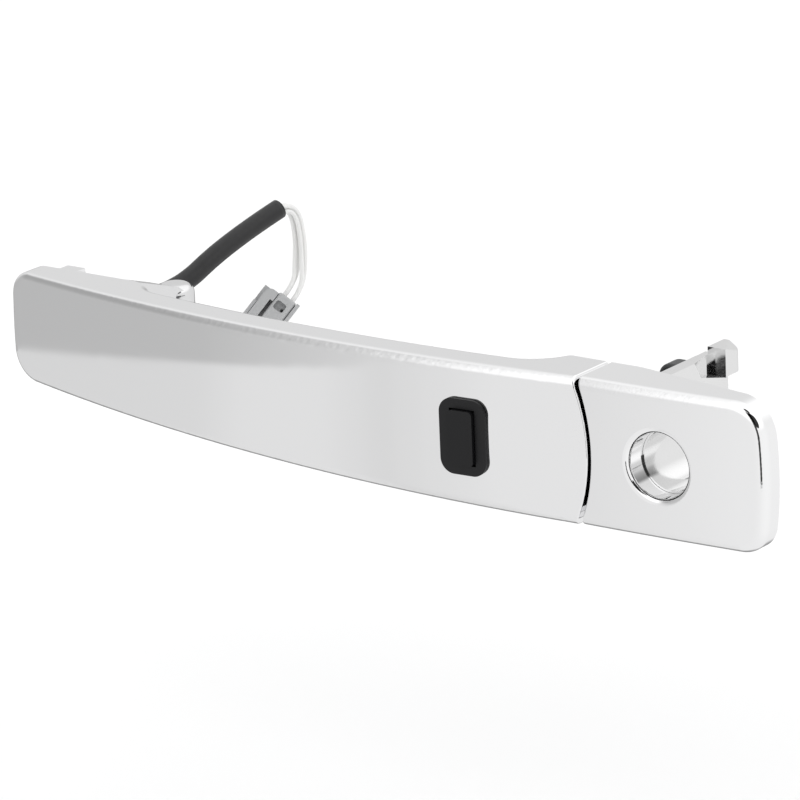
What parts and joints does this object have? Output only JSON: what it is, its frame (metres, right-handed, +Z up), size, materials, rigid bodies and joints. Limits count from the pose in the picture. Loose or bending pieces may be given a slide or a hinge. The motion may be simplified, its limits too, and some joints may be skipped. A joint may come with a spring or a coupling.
{
  "type": "car door handle",
  "caption": "Chrome exterior car door handle: slim bowed pull grip with a black push button, wiring pigtail and rear arms, beside a fixed cap with a round lock opening.",
  "frame": {"origin": "on the axis of the lock sleeve, at the door skin plane", "axes": "+X along the handle towards the cap's free end, +Y into the door, +Z up"},
  "size_m": [0.2411, 0.1062, 0.0411],
  "materials": {
    "grip_chrome": "polished chrome plating",
    "cap_chrome": "polished chrome plating",
    "cast_base": "bright plated casting",
    "dark_plastic": "moulded, satin",
    "rear_plastic": "moulded, satin",
    "arm_plating": "plated moulding",
    "switch_black": "fine-grained black",
    "button_black": "fine-grained soft black",
    "seal_rubber": "matt",
    "board_green": "solder mask",
    "ferrite": "ground ferrite",
    "copper": "enamelled copper winding",
    "bobbin_plastic": "moulded",
    "steel": "zinc plated",
    "bush_plastic": "self-lubricating bush",
    "sheath_vinyl": "satin vinyl tube",
    "wire_white": "wire insulation",
    "connector_grey": "moulded nylon",
    "terminal_tin": "tinned"
  },
  "bodies": {
    "cap": {"cap_shell": "cap_chrome", "cap_base": "cast_base", "cap_screws": "steel"},
    "grip": {"grip_shell": "grip_chrome", "grip_rear_cover": "rear_plastic", "front_arm": "arm_plating", "pull_arm": "dark_plastic", "pivot_bush": "bush_plastic", "rear_cover_screws": "steel", "front_arm_screws": "steel", "pull_arm_screws": "steel", "switch_bezel": "switch_black", "tact_switch": "dark_plastic", "circuit_board": "board_green", "switch_seal": "seal_rubber", "switch_housing": "dark_plastic", "antenna_core": "ferrite", "antenna_bobbin": "bobbin_plastic", "antenna_coil": "copper", "antenna_holder": "dark_plastic", "grip_leads": "wire_white", "sheath_grommet": "seal_rubber", "harness_sheath": "sheath_vinyl", "wire_upper_left": "wire_white", "wire_upper_right": "wire_white", "wire_lower_left": "wire_white", "wire_lower_right": "wire_white", "connector_housing": "connector_grey", "connector_terminals": "terminal_tin", "terminal_retainer": "connector_grey", "connector_clip": "connector_grey"},
    "button": {"switch_button": "button_black", "tact_plunger": "bobbin_plastic"}
  },
  "joints": [
    {"name": "grip_swing", "type": "hinge", "parent": "cap", "child": "grip", "pos_m": [-0.182, 0.0255, 0.006], "axis": [0, 0, -1], "range_deg": [0, 9], "stiffness_Nm_per_rad": 2, "springref_deg": -2.86},
    {"name": "button_press", "type": "slide", "parent": "grip", "child": "button", "axis": [-0.069, 0.9976, 0], "range_m": [0, 0.0008], "stiffness_N_per_m": 2500}
  ]
}
